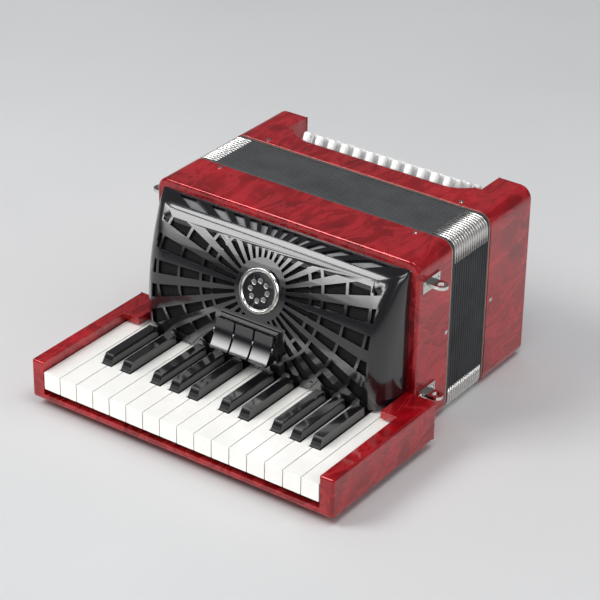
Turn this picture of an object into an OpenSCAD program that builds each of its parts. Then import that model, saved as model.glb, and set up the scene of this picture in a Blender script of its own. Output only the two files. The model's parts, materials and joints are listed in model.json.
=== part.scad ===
// Small piano accordion, 26 treble keys and 48 bass buttons, lying on its back with the bellows closed.
// X runs along the keyboard from the low notes to the high ones, Y from the keyboard to the bass side,
// Z from the player's side up to the front. Millimetres.

/* [Body] */
// length of the treble and bass casings along the keyboard
body_w = 280; // [276:2:290]
// depth of the casings from the player's side to the front
body_d = 172; // [170:1:180]
// radius of the casings' long edges
edge_r = 12; // [8:1:14]
// thickness of the casing walls
wall = 6; // [5:0.5:7]
// width of the treble casing between the grille and the bellows
treble_w = 52; // [50:1:56]
// width of the bass casing
bass_w = 65; // [62:1:70]

/* [Bellows] */
// length of the folded cloth between the two bellows frames
fold_len = 55; // [50:1:66]
// depth of a fold from its outer crease to its inner one
fold_depth = 18; // [14:1:20]
// number of folds
fold_count = 15; // [9:3:18]

/* [Keyboard] */
// distance from one white key to the next
key_pitch = 18.5; // [18.2:0.1:18.8]
// length of a white key in front of the grille
key_len = 112; // [105:1:118]
// height of the white keys' playing face above the player's side
key_z = 37; // [36:0.5:38]
// how far a black key stands above the white ones
black_rise = 9; // [7:0.5:10]
// width of a black key
black_w = 10.5; // [9.5:0.5:11]

/* [Buttons] */
// number of bass buttons in a row
button_cols = 12; // [8:1:12]
// distance between bass buttons along a row
button_pitch = 14; // [13:0.5:14.5]
// radius of a bass button
button_r = 4; // [3:0.25:4.5]
// tilt of the button board away from the front, in degrees
board_tilt = 28; // [26:1:29]

/* [Hidden] */

$fn = 48;
eps = 0.5;              // how far a cut runs past the face it opens

red = [0.62, 0.03, 0.08];
black = [0.03, 0.03, 0.035];
white = [0.93, 0.92, 0.88];
chrome = [0.8, 0.8, 0.82];
alu = [0.7, 0.71, 0.72];
timber = [0.72, 0.55, 0.36];

// the stations along Y
y_t0 = -treble_w / 2;           // front edge of the treble casing
y_t1 = treble_w / 2;            // treble casing against the bellows frame
frame_t = 4;                    // visible thickness of a bellows frame
y_f0 = y_t1 + frame_t;          // first fold
y_f1 = y_f0 + fold_len;         // last fold
y_b0 = y_f1 + frame_t;          // bass casing against the bellows frame
y_b1 = y_b0 + bass_w;           // outer face of the bass casing
hw = body_w / 2;

// the grille
lip = 10;                       // width of the casing's front rim
lip_t = 6;                      // how deep the rim goes
grille_hw = hw - lip + 2;       // half the grille's length
grille_top = body_d - 8;        // upper edge of the grille
grille_z0 = key_z + 3;          // lower edge of the grille, above the white keys
grille_t = 2.2;                 // thickness of the grille
band_w = 14;                    // width of the grille's top band
band_y = y_t0 - band_w;         // crease between the top band and the face
band_z = grille_top - 5;
face_r = 164.2;                 // curvature of the grille's face
face_y = y_t0 + 122.8;          // axis of that curvature
face_z = 68.1;
crease_len = 4.6;               // length of face taken up by the crease's rounding
face_steps = 20;
end_r = 25;                     // length of the grille's rounded ends
end_curve = 2.6;                // 2 would make them elliptic, more makes them squarer
end_depth = 0.12;               // share of the depth left at the very end
badge_z = 116;                  // height of the badge's centre
badge_r = 21;

// the keys
whites = 16;
kb_w = whites * key_pitch;
root_y = y_t0 - 40;             // where the keys run under the grille
key_y0 = root_y - key_len;      // free ends of the keys
key_y1 = y_t0 - 24;             // hidden ends of the keys
key_gap = 1;                    // space between two keys
key_h = 17;                     // height of a key's block
front_len = 42;                 // full-width front part of a white key
nose_angle = 28;                // slope of a black key's nose
axle_y = y_t0 - 32;
axle_z = 27;
axle_r = 1.5;
run_fit = 0.06;                 // radial clearance of a running bore
lever_squeeze = 0.88;           // pallets stand closer together than the keys
lever_y = y_t0 - 14;            // plane of the key levers
lever_t = 2.4;
lever_w = 3;
fork_w = 4.8;                   // width, height and underside of the levers' roots
fork_h = 5;
fork_z = key_z - key_h - 0.5;
arm_h = 12;                     // arm between a lever and its pallet
row_white = 75;                 // height of the two rows of pallets
row_black = 110;
pallet_w = 13.5;
pallet_h = 26;
pallet_t = 8;
tone_w = 6.5;                   // tone holes, two under each pallet
tone_h = 9;
tone_dz = 6.5;
bed_z0 = 8;                     // keyboard base
bed_z1 = 14;
cheek_w = 14;                   // end blocks of the keyboard
cheek_z = key_z + 9;
rail_z = 18;

// the inside of the treble casing
board_y0 = y_t0 + lip_t;        // front of the foundation board
board_t = 6;
slide_t = 1;                    // register slides, in a gap behind the foundation board
slide_h = 11;
slide_shift = 3.3;              // travel of a slide to either side
slide_hw = hw - wall - slide_shift - 0.5;
slide_y = board_y0 + board_t + 0.1;
block_y0 = slide_y + slide_t + 0.1;
block_y1 = y_t1 - 6;
block_hw = hw - wall - 5;       // half the length of the reed blocks
block_h = 26;
block_wall = 4;
chamber_w = 10;                 // width of a reed chamber
plate_t = 2.5;                  // reed plates
plate_w = 13.2;

// the registers
reg_x = -6;                     // middle of the group along the keyboard
reg_z = 71;                     // height of the rockers' rod
reg_y = root_y - 8;
reg_w = 19;
reg_pitch = 21;
reg_hh = 13;                    // half a rocker's height
reg_foot = 11;                  // how far its lower end stands out from the rod
reg_hollow_r = 47;              // hollow of its front face
reg_rod_r = 1.2;
reg_plate_hh = 15;              // half the height of the plate behind the rockers
reg_plate_y = root_y - 5;       // its front face
reg_wall = 1.4;                 // walls between the rockers, which hold the rod
reg_in_hw = 27;                 // opening in the grille behind the plate
reg_in_hh = 8.5;
stud_r = 8;                     // stud behind the badge

// the bass side
recess_hw = 106;                // half the length of the button recess
recess_r = 34;                  // rounding of its corners
strip_w = 23;                   // casing strip in front of the recess
strip_drop = 1;                 // the board starts this far below the front
board_th = 3;
cover_t = 4;
ledge = 1.5;                    // the board rests on it, at the horns only
ledge_x = 95;
board_y = y_b0 + strip_w;
board_z = body_d - strip_drop;
board_len = (bass_w - strip_w) / cos(board_tilt);
board_end_z = board_z - board_len * sin(board_tilt);
rows = 4;
row_first = 10;                 // first row of buttons from the board's upper edge
row_pitch = (board_len - row_first - button_r - 0.9) / (rows - 1);
row_shift = 4.5;                // each row is shifted sideways
button_h = 10;                  // how far a button stands out
button_in = board_th;           // and how far it goes in
pin_x = 105;                    // bellows pins
pin_r = 1;
pin_y_t = y_t1 - 5;
pin_y_b = y_b0 + 5;
strap_r = 262.6;                // curvature of the hand strap
strap_rise = 28;
strap_hw = 118;
strap_w = 58;
strap_t = 4;
strap_z = 72;
wheel_x = -hw + 12;
wheel_y = y_b1 - 8;
wheel_r = 14;
wheel_t = 8;
knurls = 30;
shaft_r = 2.5;
air_x = -100;
air_z = 24;
air_r = 7;
air_h = 7;                      // how far the air button stands out
valve_r = 12;                   // air valve inside the bass casing

// note of white key k, with 0 for C: the row starts on a B
function note(k) = (k + 6) % 7;
function black_after(k) = let(n = note(k)) n == 0 || n == 1 || n == 3 || n == 4 || n == 5;
// sideways shift of the black key that follows white key k
function shift(k) = let(n = note(k)) n == 0 ? -1.3 : n == 1 ? 1.3 : n == 3 ? -1.9 : n == 5 ? 1.9 : 0;
function white_x(k) = (k + 0.5) * key_pitch - kb_w / 2;
function black_x(k) = (k + 1) * key_pitch - kb_w / 2 + shift(k);
// white keys that have a black key after them
sharps = [for (k = [0:whites - 2]) if (black_after(k)) k];

// rectangle with round corners, centred
module round_rect(w, h, r) {
    square([w - 2 * r, h], center = true);
    square([w, h - 2 * r], center = true);
    for (sx = [-1, 1], sy = [-1, 1]) translate([sx * (w / 2 - r), sy * (h / 2 - r)]) circle(r);
}

// a prism along Y of the casings' outline, smaller by inset on every side
module outline_y(y0, y1, inset) {
    translate([0, y1, body_d / 2]) rotate([90, 0, 0])
        linear_extrude(y1 - y0) round_rect(body_w - 2 * inset, body_d - 2 * inset, max(edge_r - inset, 2));
}

module box(x0, x1, y0, y1, z0, z1) {
    translate([x0, y0, z0]) cube([x1 - x0, y1 - y0, z1 - z0]);
}

module rod_x(x0, x1, y, z, r) {
    translate([x0, y, z]) rotate([0, 90, 0]) cylinder(h = x1 - x0, r = r);
}

// a profile in Y and Z, drawn out along X between -half and half
module along_x(half) {
    translate([-half, 0, 0]) rotate([90, 0, 90]) linear_extrude(2 * half) children();
}

// ---- treble side ----

module pin_places(y) {
    for (x = [-1, 1] * pin_x) translate([x, y, body_d]) children();
    for (s = [-1, 1]) translate([s * hw, y, body_d / 2]) rotate([0, s * 90, 0]) children();
}

module pin_holes(y) {
    pin_places(y) translate([0, 0, -wall - 4.5]) cylinder(h = wall + 4.5 + eps, r = pin_r);
}

module pins(y) {
    color(chrome) pin_places(y) {
        translate([0, 0, -wall - 4]) cylinder(h = wall + 4, r = pin_r);
        rotate_extrude() polygon([[0, 0], [2.2, 0], [2.2, 0.5], [1.6, 0.9], [0, 1.1]]);
    }
}

bracket_z = 40;                 // the strap brackets sit near the player's side and near the front
bracket_hi = 148;
bracket_y = y_t0 + 18;
screw_dy = 9;
screw_r = 1.5;
strap_hole_r = 3.5;

module bracket_screws(h) {
    for (s = [-1, 1], z = [bracket_z, bracket_hi], dy = [-1, 1] * screw_dy)
        translate([s * (hw - 5), bracket_y + dy, z]) rotate([0, s * 90, 0]) cylinder(h = h, r = screw_r);
}

module treble_case() {
    color(red) difference() {
        outline_y(y_t0, y_t1, 0);
        outline_y(board_y0, y_t1 + eps, wall);
        box(-hw + lip, hw - lip, y_t0 - eps, board_y0 + eps, bed_z1, body_d - lip);
        pin_holes(pin_y_t);
        bracket_screws(6);
    }
}

// the face is an arc in Y and Z; this is its Y at height z, drawn in by inset
function face_at(z, inset) = face_y - sqrt(pow(face_r - inset, 2) - pow(z - face_z, 2));

// the grille's profile in Y and Z: the top band, a soft crease and the face, down to the lower edge
function grille_profile(inset, past) =
    let(top = [y_t0 + past, grille_top - inset], zc = band_z - inset, crease = [face_at(zc, inset), zc],
        a = crease + (top - crease) * 0.38, zb = zc - crease_len, b = [face_at(zb, inset), zb],
        bottom = grille_z0 - past)
    concat([top],
        [for (i = [0:5]) let(t = i / 5) a * pow(1 - t, 2) + crease * 2 * t * (1 - t) + b * pow(t, 2)],
        [for (i = [1:face_steps]) let(z = zb + (bottom - zb) * i / face_steps) [face_at(z, inset), z]],
        [[y_t0 + past, bottom]]);

// the places along X where the profile is set, as shares of the rounded end, and its depth there
end_steps = 7;
function end_place(i) = sin(90 * i / end_steps);
function end_share(i) = max(end_depth, pow(1 - pow(end_place(i), end_curve), 1 / end_curve));

// the profile along X, losing depth towards both ends on a rounded curve
module grille_body(inset, past) {
    profile = grille_profile(inset, past);
    n = len(profile);
    half = grille_hw - inset;
    rows = [for (i = [end_steps:-1:0]) [-1, i], for (i = [0:end_steps]) [1, i]];
    points = [for (r = rows, p = profile)
        [r[0] * (half - end_r * (1 - end_place(r[1]))), y_t0 + (p[0] - y_t0) * end_share(r[1]), p[1]]];
    sides = [for (i = [0:len(rows) - 2], j = [0:n - 1]) let(k = (j + 1) % n, o = i * n)
        each [[o + j, o + n + j, o + k], [o + k, o + n + j, o + n + k]]];
    first = [for (j = [0:n - 1]) j];
    last = [for (j = [n - 1:-1:0]) (len(rows) - 1) * n + j];
    polyhedron(points, concat(sides, [first, last]));
}

rays = 32;
ray_in = badge_r + 6;           // where the slots start
ray_out = 170;                  // past the grille's corners
bar_hw = 1.4;                   // half the width of a cross bar
end_border = 16;                // solid border at the grille's ends

// one ray slot of the sunburst, drawn in X and Z from the badge outwards
module ray(a) {
    rotate(a) polygon([[ray_in, -1.4], [ray_in, 1.4], [ray_out, 9.2], [ray_out, -9.2]]);
}

// ring-shaped bars that cross the rays and divide them into panes
module cross_bar(r) {
    difference() {
        circle(r + bar_hw);
        circle(r - bar_hw);
    }
}

ray_step = 360 / rays;
window_angle = 3.3;             // half the angle of a window in the top band
module sunburst() {
    intersection() {
        translate([0, badge_z]) difference() {
            for (i = [0:rays - 1]) ray((i + 0.5) * ray_step);
            for (r = [64, 88, 112]) cross_bar(r);
            // every second ray has one more bar
            intersection() {
                cross_bar(52);
                for (i = [0:2:rays - 1]) rotate((i + 0.5) * ray_step) translate([0, -8])
                    square([ray_out, 16]);
            }
        }
        difference() {
            translate([-grille_hw + end_border, grille_z0 + 8])
                square([2 * (grille_hw - end_border), band_z - grille_z0 - 12]);
            // solid panel around the registers
            translate([reg_x - 1.5 * reg_pitch - 6, 0])
                square([3 * reg_pitch + 12, reg_z + reg_plate_hh + 4]);
        }
    }
}

// the upper rays run on over the crease into the top band, as windows that widen towards the ends
module band_windows() {
    rise = band_z - badge_z;
    limit = grille_hw - end_r + 6;
    for (s = [-1, 1], i = [0:5]) {
        inner = tan((i + 0.5) * ray_step - window_angle);
        outer = tan((i + 0.5) * ray_step + window_angle);
        translate([0, 0, band_z - 8]) linear_extrude(20)
            polygon([[s * rise * inner, band_y + 1.6], [s * min(rise * outer, limit), band_y + 1.6],
                [s * min((rise + band_w) * outer, limit), y_t0 - 2.6],
                [s * (rise + band_w) * inner, y_t0 - 2.6]]);
    }
}

module treble_grille() {
    color(black) difference() {
        grille_body(0, 0);
        grille_body(grille_t, eps);
        translate([0, y_t0 - 20, 0]) rotate([90, 0, 0]) linear_extrude(60) sunburst();
        band_windows();
        // opening behind the registers, and the hole for the badge's stud
        box(reg_x - reg_in_hw, reg_x + reg_in_hw, root_y - 20, root_y + 10,
            reg_z - reg_in_hh, reg_z + reg_in_hh);
        on_face(badge_z) translate([0, 0, -10]) cylinder(h = 20, r = stud_r + run_fit);
    }
}

module on_face(z) {
    // a frame on the grille's face, its Z along the outward normal
    a = asin((z - face_z) / face_r);
    translate([0, face_y - face_r * cos(a), z]) rotate([90 - a, 0, 0]) children();
}

module grille_badge() {
    plate = 1.8;                // the disc, and the rounded ring that stands above it
    ring_h = 1;
    ring_w = 4;
    color(chrome) on_face(badge_z) difference() {
        translate([0, 0, 0.05]) union() {
            rotate_extrude() polygon([[0, 0], [badge_r, 0], [badge_r, plate], [badge_r - 1, plate + ring_h],
                [badge_r - ring_w + 1, plate + ring_h], [badge_r - ring_w, plate], [0, plate]]);
            translate([0, 0, -5]) cylinder(h = 5.5, r = stud_r);
        }
        // a ring of shallow dimples
        for (i = [0:7]) rotate(i * 45) translate([9, 0, plate - 0.6]) cylinder(h = 3, r = 2.4);
    }
}

module register_block() {
    half = 1.5 * reg_pitch + reg_wall / 2;
    color(black) translate([reg_x, 0, reg_z]) {
        box(-half, half, reg_plate_y, root_y - 1.5, -reg_plate_hh, reg_plate_hh);
        box(-reg_in_hw + 0.1, reg_in_hw - 0.1, root_y - 2, root_y + 3, 0.1 - reg_in_hh, reg_in_hh - 0.1);
        for (i = [-1.5:1.5]) translate([i * reg_pitch, 0, 0]) {
            box(-reg_wall / 2, reg_wall / 2, reg_y, reg_plate_y + eps, -6, 6);
            rod_x(-reg_wall / 2, reg_wall / 2, reg_y, 0, 3.5);
        }
        rod_x(-half, half, reg_y, 0, reg_rod_r);
    }
}

module register_rocker(i) {
    color(black) translate([reg_x + (i - 2) * reg_pitch, reg_y, reg_z]) difference() {
        along_x(reg_w / 2) polygon([[2.6, 0], [1.6, reg_hh - 0.6], [-0.5, reg_hh], [-reg_foot, 1.5 - reg_hh],
            [1 - reg_foot, -reg_hh], [1.6, -reg_hh]]);
        rod_x(-reg_w, reg_w, 0, 0, reg_rod_r + run_fit);
        // finger hollow
        rod_x(-reg_w, reg_w, -reg_hollow_r, 18.4, reg_hollow_r);
    }
}

module keyboard_frame() {
    cheek_x0 = kb_w / 2 + 0.5;
    cheek_x1 = kb_w / 2 + cheek_w;
    color(red) difference() {
        union() {
            box(-cheek_x1, cheek_x1, key_y0, y_t0, bed_z0, bed_z1);
            for (s = [0, 1]) mirror([s, 0, 0]) {
                box(cheek_x0, cheek_x1, key_y0, y_t0, bed_z0, cheek_z);
                // shelf over the hidden ends of the outer keys, beside the grille
                box(grille_hw + 0.2, cheek_x1, root_y, y_t0, key_z + 2, cheek_z);
            }
            // rail the keys come to rest on
            box(-kb_w / 2 - 1, kb_w / 2 + 1, y_t0 - 12, y_t0, bed_z0, rail_z);
        }
        axle_rod();
    }
}

module axle_rod() {
    end = kb_w / 2 + cheek_w / 2;
    rod_x(-end, end, axle_y, axle_z, axle_r);
}

module key_axle() {
    color(chrome) axle_rod();
}

// lever from the key's hidden end, whose middle is at x = root, to the pallet of the key at x
module key_lever(x, root, row) {
    xl = x * lever_squeeze;
    translate([0, 0, fork_z]) linear_extrude(fork_h)
        polygon([[root - fork_w / 2, key_y1 - 2], [root + fork_w / 2, key_y1 - 2],
            [root + fork_w / 2, key_y1 + eps], [xl + lever_w / 2, lever_y + lever_t],
            [xl - lever_w / 2, lever_y + lever_t], [root - fork_w / 2, key_y1 + eps]]);
    box(xl - lever_w / 2, xl + lever_w / 2, lever_y, lever_y + lever_t, fork_z, row + arm_h / 2);
    box(xl - lever_w / 2, xl + lever_w / 2, lever_y, board_y0 - pallet_t + 1,
        row - arm_h / 2, row + arm_h / 2);
    box(xl - pallet_w / 2, xl + pallet_w / 2, board_y0 - pallet_t, board_y0,
        row - pallet_h / 2, row + pallet_h / 2);
}

module key_bore(x) {
    rod_x(x - key_pitch, x + key_pitch, axle_y, axle_z, axle_r + run_fit);
}

module white_key(k) {
    x = white_x(k);
    w = key_pitch - key_gap;
    left = k > 0 && black_after(k - 1) ? black_x(k - 1) + black_w / 2 + key_gap : x - w / 2;
    right = k < whites - 1 && black_after(k) ? black_x(k) - black_w / 2 - key_gap : x + w / 2;
    color(white) difference() {
        union() {
            box(x - w / 2, x + w / 2, key_y0, key_y0 + front_len, key_z - key_h, key_z);
            box(left, right, key_y0 + front_len - 1, key_y1, key_z - key_h, key_z);
            key_lever(x, (left + right) / 2, row_white);
        }
        key_bore(x);
    }
}

module black_key(k) {
    x = black_x(k);
    y0 = key_y0 + front_len + key_gap;
    color(black) difference() {
        union() {
            box(x - black_w / 2, x + black_w / 2, y0, key_y1, key_z - key_h, key_z);
            // the raised cap, narrower at its top
            translate([x, root_y - 3, 0]) rotate([90, 0, 0]) linear_extrude(root_y - 3 - y0)
                polygon([[-black_w / 2, key_z - 1], [black_w / 2, key_z - 1],
                    [black_w / 2 - 0.8, key_z + black_rise], [-black_w / 2 + 0.8, key_z + black_rise]]);
            key_lever(x, x, row_black);
        }
        key_bore(x);
        // sloping nose
        translate([x - black_w, y0, key_z]) rotate([-nose_angle, 0, 0]) translate([0, -20, 0])
            cube([2 * black_w, 20, 30]);
    }
}

// the keys in order of pitch: a white key's place, or -1 - k for the black key after white key k
keys = [for (k = [0:whites - 1]) each black_after(k) && k < whites - 1 ? [k, -1 - k] : [k]];
first_key = 12;                 // place of the first key in NODES

module key(i) {
    if (keys[i] < 0) black_key(-1 - keys[i]); else white_key(keys[i]);
}

// the two tone holes of every key, or what lies behind them
module per_key() {
    for (k = [0:whites - 1]) translate([white_x(k) * lever_squeeze, 0, row_white]) children();
    for (k = sharps) translate([black_x(k) * lever_squeeze, 0, row_black]) children();
}

module tone_holes(y0, y1, dzs) {
    per_key() for (dz = dzs) box(-tone_w / 2, tone_w / 2, y0, y1, dz - tone_h / 2, dz + tone_h / 2);
}

module treble_foundation() {
    color(timber) difference() {
        outline_y(board_y0, board_y0 + board_t, wall);
        tone_holes(board_y0 - eps, board_y0 + board_t + eps, [-1, 1] * tone_dz);
    }
}

// the two strips of one rank, one behind each row of tone holes: their own holes stand in line with the
// tone holes at one end of the travel and are shut at the other, so at mid travel they are half open
module register_slide(dz) {
    color(alu) difference() {
        for (z = [row_white, row_black])
            box(-slide_hw, slide_hw, slide_y, slide_y + slide_t, z + dz - slide_h / 2, z + dz + slide_h / 2);
        translate([-slide_shift, 0, 0]) tone_holes(slide_y - eps, slide_y + slide_t + eps, [dz]);
    }
}

module treble_reed_blocks() {
    hole_z = tone_dz - tone_h / 2;
    color(timber) difference() {
        for (z = [row_white, row_black])
            box(-block_hw, block_hw, block_y0, block_y1, z - block_h / 2, z + block_h / 2);
        // a chamber for each reed plate, open to its tone hole and to the plate
        per_key() for (s = [0, 1]) mirror([0, 0, s]) {
            box(-tone_w / 2, tone_w / 2, block_y0 - eps, block_y0 + block_wall + eps,
                hole_z, hole_z + tone_h);
            box(-chamber_w / 2, chamber_w / 2, block_y0 + block_wall, block_y1 - block_wall, hole_z,
                block_h / 2 + eps);
        }
    }
}

tongue_dx = 3;                  // each plate's two tongues, side by side
tongue_w = 2.2;
tongue_t = 0.3;
slot_w = 2.6;

module reed_plate(len) {
    // a plate with two slots, and the tongue fixed over each slot
    difference() {
        box(-plate_w / 2, plate_w / 2, 0, len, 0, plate_t);
        for (x = [-1, 1] * tongue_dx) box(x - slot_w / 2, x + slot_w / 2, 3, len - 7, -eps, plate_t + eps);
    }
    for (x = [-1, 1] * tongue_dx)
        box(x - tongue_w / 2, x + tongue_w / 2, 4, len - 1.5, plate_t, plate_t + tongue_t);
}

module treble_reeds() {
    margin = block_wall / 2;
    color(alu) per_key() for (s = [0, 1]) mirror([0, 0, s])
        translate([0, block_y0 + margin, block_h / 2]) reed_plate(block_y1 - block_y0 - 2 * margin);
}

// ring that closes the bellows at a casing: a visible edge, and a rim inside the casing
module bellows_frame(y_case, s) {
    y_fold = y_case + s * frame_t;
    y_rim = y_case - s * 8;
    difference() {
        union() {
            outline_y(min(y_case, y_fold), max(y_case, y_fold), 0.8);
            outline_y(min(y_rim, y_case), max(y_rim, y_case), wall);
        }
        outline_y(min(y_rim, y_fold) - eps, max(y_rim, y_fold) + eps, wall + 4.6);
        pin_holes(y_case - s * 5);
    }
}

module treble_bellows_frame() {
    color(white) bellows_frame(y_t1, 1);
}

module strap_bracket() {
    // plate, and an ear with the hole for a shoulder strap
    plate = 1.6;
    ear_t = 3;
    ear_r = 6;
    ear_z = 11.4;               // height of the hole above the casing
    difference() {
        union() {
            translate([-ear_r, -13, 0]) cube([2 * ear_r, 26, plate]);
            translate([-ear_t / 2, -ear_r, 0.6]) cube([ear_t, 2 * ear_r, ear_z - 0.6]);
            translate([-ear_t / 2, 0, ear_z]) rotate([0, 90, 0]) cylinder(h = ear_t, r = ear_r);
        }
        translate([-ear_t, 0, ear_z]) rotate([0, 90, 0]) cylinder(h = 2 * ear_t, r = strap_hole_r);
    }
    for (dy = [-1, 1] * screw_dy) translate([0, dy, 0]) {
        translate([0, 0, -4]) cylinder(h = 4, r = screw_r);
        translate([0, 0, plate]) cylinder(h = 1, r1 = 2.8, r2 = 1.8);
    }
}

module strap_brackets() {
    color(chrome) for (s = [-1, 1], z = [bracket_z, bracket_hi])
        translate([s * hw, bracket_y, z]) rotate([0, s * 90, 0]) strap_bracket();
}

// ---- bellows ----

sections = 3;
module bellows_folds(k) {
    n = fold_count / sections;
    p = fold_len / fold_count;
    y0 = y_f0 + (k - 1) * n * p;
    color(black) difference() {
        union() {
            outline_y(y0, y0 + n * p, 2.6);
            for (i = [0:n - 1]) outline_y(y0 + (i + 0.15) * p, y0 + (i + 0.85) * p, 0.6);
        }
        outline_y(y0 - eps, y0 + n * p + eps, fold_depth);
    }
}

// ---- bass side ----

// plan of the button recess, open towards the outer face
module recess_plan(grow) {
    translate([0, board_y + recess_r]) {
        translate([0, 30]) square([2 * (recess_hw + grow), 100], center = true);
        square([2 * (recess_hw + grow - recess_r), 2 * recess_r], center = true);
        for (s = [-1, 1]) translate([s * (recess_hw - recess_r), 0]) circle(recess_r + grow);
    }
}

// everything in front of the board's plane, lowered by down
module above_board(down) {
    translate([0, board_y, board_z]) rotate([-board_tilt, 0, 0])
        translate([-hw, -60, -down]) cube([body_w, 160, 80]);
}

module recess(down) {
    intersection() {
        linear_extrude(body_d + 20) recess_plan(0);
        above_board(down);
    }
}

module bass_case() {
    color(red) difference() {
        outline_y(y_b0, y_b1, 0);
        difference() {
            outline_y(y_b0 - eps, y_b1 + eps, wall);
            // wall around the recess, with a ledge for the board at both ends
            translate([0, 0, board_end_z - 12]) linear_extrude(body_d) {
                difference() {
                    recess_plan(wall);
                    recess_plan(0);
                }
                difference() {
                    recess_plan(0.1);
                    recess_plan(-ledge);
                    translate([-ledge_x, y_b0]) square([2 * ledge_x, bass_w]);
                }
            }
        }
        recess(board_th);
        pin_holes(pin_y_b);
        // bearing of the strap wheel's screw
        rod_x(-hw + 2, -hw + wall + eps, wheel_y, strap_z, shaft_r + run_fit);
    }
}

module cover_cuts() {
    // window of the strap wheel
    box(wheel_x - wheel_t / 2 - 1, wheel_x + wheel_t / 2 + 1, y_b1 - eps, y_b1 + cover_t + eps,
        strap_z - wheel_r, strap_z + wheel_r);
    translate([air_x, y_b1 - eps, air_z]) rotate([-90, 0, 0])
        cylinder(h = cover_t + 2 * eps, r = air_r + run_fit);
}

module bass_cover() {
    color(red) difference() {
        outline_y(y_b1, y_b1 + cover_t, 0);
        box(-recess_hw, recess_hw, y_b1 - eps, y_b1 + cover_t + eps, board_end_z - board_th, body_d + 1);
        cover_cuts();
    }
}

module on_board() {
    translate([0, board_y, board_z]) rotate([-board_tilt, 0, 0]) children();
}

module button_places(row) {
    for (i = [0:button_cols - 1])
        translate([(i - (button_cols - 1) / 2) * button_pitch + (row - 1) * row_shift - row_shift,
            row_first + (row - 1) * row_pitch, 0]) children();
}

module bass_board() {
    color(black) difference() {
        intersection() {
            linear_extrude(body_d + 20) recess_plan(-0.05);
            on_board() translate([-hw, -6, -board_th]) cube([body_w, board_len + 30, board_th]);
            box(-hw, hw, y_b0, y_b1, 0, body_d);
        }
        on_board() for (r = [1:rows]) button_places(r)
            translate([0, 0, -board_th - 1]) cylinder(h = board_th + 2, r = button_r + run_fit + 0.04);
    }
}

module bass_button_row(r) {
    color(white) on_board() button_places(r) {
        translate([0, 0, -button_in]) cylinder(h = button_in, r = button_r);
        rotate_extrude() polygon([[0, 0], [button_r, 0], [button_r, button_h - 2],
            [button_r - 0.6, button_h - 0.8], [button_r - 1.8, button_h - 0.15], [0, button_h]]);
    }
}

bf_y0 = y_b0 + 9;               // bass foundation board
bf_y1 = bf_y0 + 6;
bass_pitch = 17;
bass_rows = [72, 96];           // heights of the two rows of bass tone holes
bass_block_l = 28;

// one place for each of the 24 bass tone holes
module per_bass() {
    for (i = [0:11], z = bass_rows) translate([(i - 5.5) * bass_pitch, 0, z]) children();
}

module bass_foundation() {
    color(timber) difference() {
        outline_y(bf_y0, bf_y1, wall);
        per_bass() box(-4, 4, bf_y0 - eps, bf_y1 + eps, -4, 4);
        translate([air_x, bf_y0 - eps, air_z]) rotate([-90, 0, 0]) cylinder(h = 6 + 2 * eps, r = valve_r - 3);
    }
}

module bass_reed_block() {
    y0 = bf_y0 - bass_block_l;
    color(timber) {
        difference() {
            box(-104, 104, y0, bf_y0, 66, 102);
            per_bass() box(-4, 4, y0 + 4, bf_y0 + eps, -4, 4);
        }
        for (i = [0:11]) translate([(i - 5.5) * bass_pitch, y0 + 1, 84])
            for (s = [0, 1]) mirror([0, 0, s]) translate([0, 0, 18]) reed_plate(bass_block_l - 2);
    }
}

module bass_bellows_frame() {
    color(white) bellows_frame(y_b0, -1);
}

module hand_strap() {
    // leather band across the cover, bowed out for the hand
    cy = y_b1 + cover_t + strap_rise - strap_r;
    color(black) translate([0, 0, strap_z - strap_w / 2]) linear_extrude(strap_w) intersection() {
        difference() {
            translate([0, cy]) circle(strap_r, $fn = 180);
            translate([0, cy]) circle(strap_r - strap_t, $fn = 180);
        }
        translate([-strap_hw + 6, y_b1 + cover_t]) square([2 * strap_hw - 12, 60]);
    }
}

module air_button() {
    // button, stem, and the valve disc that closes the hole in the foundation board from inside
    valve_t = 3;
    stem_r = 3;
    stem_y = bf_y0 - valve_t;
    shoulder_y = y_b1 - 8;
    color(white) translate([air_x, 0, air_z]) rotate([-90, 0, 0]) {
        translate([0, 0, shoulder_y]) cylinder(h = y_b1 + cover_t + air_h - shoulder_y, r = air_r);
        translate([0, 0, stem_y]) cylinder(h = shoulder_y - stem_y, r = stem_r);
        translate([0, 0, stem_y]) cylinder(h = valve_t, r = valve_r);
    }
}

module strap_wheel() {
    color(chrome) {
        difference() {
            rod_x(wheel_x - wheel_t / 2, wheel_x + wheel_t / 2, wheel_y, strap_z, wheel_r);
            for (i = [1:knurls]) translate([wheel_x, wheel_y, strap_z]) rotate([i * 360 / knurls, 0, 0])
                translate([-wheel_t, wheel_r + 0.4, 0]) rotate([0, 90, 0]) cylinder(h = 2 * wheel_t, r = 0.9);
        }
        rod_x(-hw + 2.5, wheel_x - wheel_t / 2, wheel_y, strap_z, shaft_r);
        rod_x(wheel_x + wheel_t / 2, wheel_x + 26, wheel_y, strap_z, shaft_r);
    }
}

treble_case();
treble_grille();
grille_badge();
register_block();
keyboard_frame();
key_axle();
treble_foundation();
treble_reed_blocks();
treble_reeds();
treble_bellows_frame();
pins(pin_y_t);  // treble_pins
strap_brackets();
for (i = [0:len(keys) - 1]) key(i);
for (i = [1:3]) register_rocker(i);
register_slide(-tone_dz);  // register_slide_low
register_slide(tone_dz);  // register_slide_middle
for (k = [1:sections]) bellows_folds(k);
bass_case();
bass_cover();
bass_board();
bass_foundation();
bass_reed_block();
bass_bellows_frame();
pins(pin_y_b);  // bass_pins
hand_strap();
for (r = [1:rows]) bass_button_row(r);
air_button();
strap_wheel();
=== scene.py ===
import json
import math

import bmesh
import bpy
from mathutils import Matrix, Vector


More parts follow.
